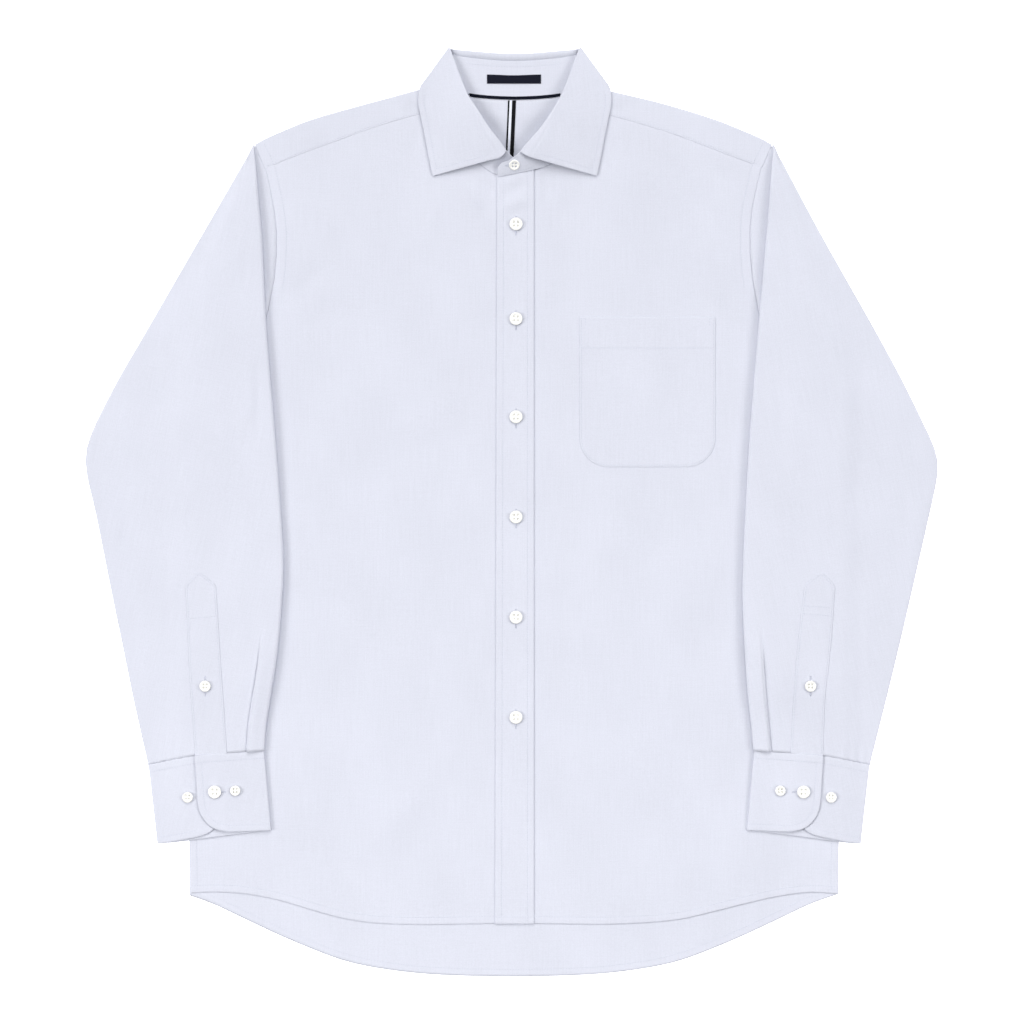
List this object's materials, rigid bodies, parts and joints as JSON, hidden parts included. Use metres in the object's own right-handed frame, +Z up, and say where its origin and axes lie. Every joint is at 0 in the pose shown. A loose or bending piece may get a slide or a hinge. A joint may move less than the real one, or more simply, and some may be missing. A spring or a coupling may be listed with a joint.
{
  "type": "long sleeve dress shirt",
  "caption": "Long sleeve dress shirt with a spread collar, chest pocket, front placket, barrel cuffs and a curved tail hem, buttoned and laid flat.",
  "frame": {"origin": "centre of the shirt's outline, on the flat surface that it lies on", "axes": "+Z up out of the surface, +Y from the tail to the collar, +X across the shirt towards the side with the pocket"},
  "size_m": [0.7673, 0.8354, 0.0133],
  "materials": {
    "shirting": "matte",
    "buttons": "gloss",
    "tape": "matte",
    "ribbon": "matte",
    "label": "satin"
  },
  "bodies": {
    "root": {"back": "shirting", "yoke": "shirting", "front_left": "shirting", "front_right": "shirting", "front_placket": "shirting", "pocket": "shirting", "collar_stand": "shirting", "collar_leaf": "shirting", "neck_tape": "tape", "back_ribbon": "ribbon", "label": "label", "sleeve_left": "shirting", "sleeve_right": "shirting", "cuff_left": "shirting", "cuff_right": "shirting", "sleeve_placket_left": "shirting", "sleeve_placket_right": "shirting", "button_collar": "buttons", "button_front_1": "buttons", "button_front_2": "buttons", "button_front_3": "buttons", "button_front_4": "buttons", "button_front_5": "buttons", "button_front_6": "buttons", "button_placket_left": "buttons", "button_cuff_main_left": "buttons", "button_cuff_inner_left": "buttons", "button_cuff_outer_left": "buttons", "button_placket_right": "buttons", "button_cuff_main_right": "buttons", "button_cuff_inner_right": "buttons", "button_cuff_outer_right": "buttons"}
  },
  "joints": []
}
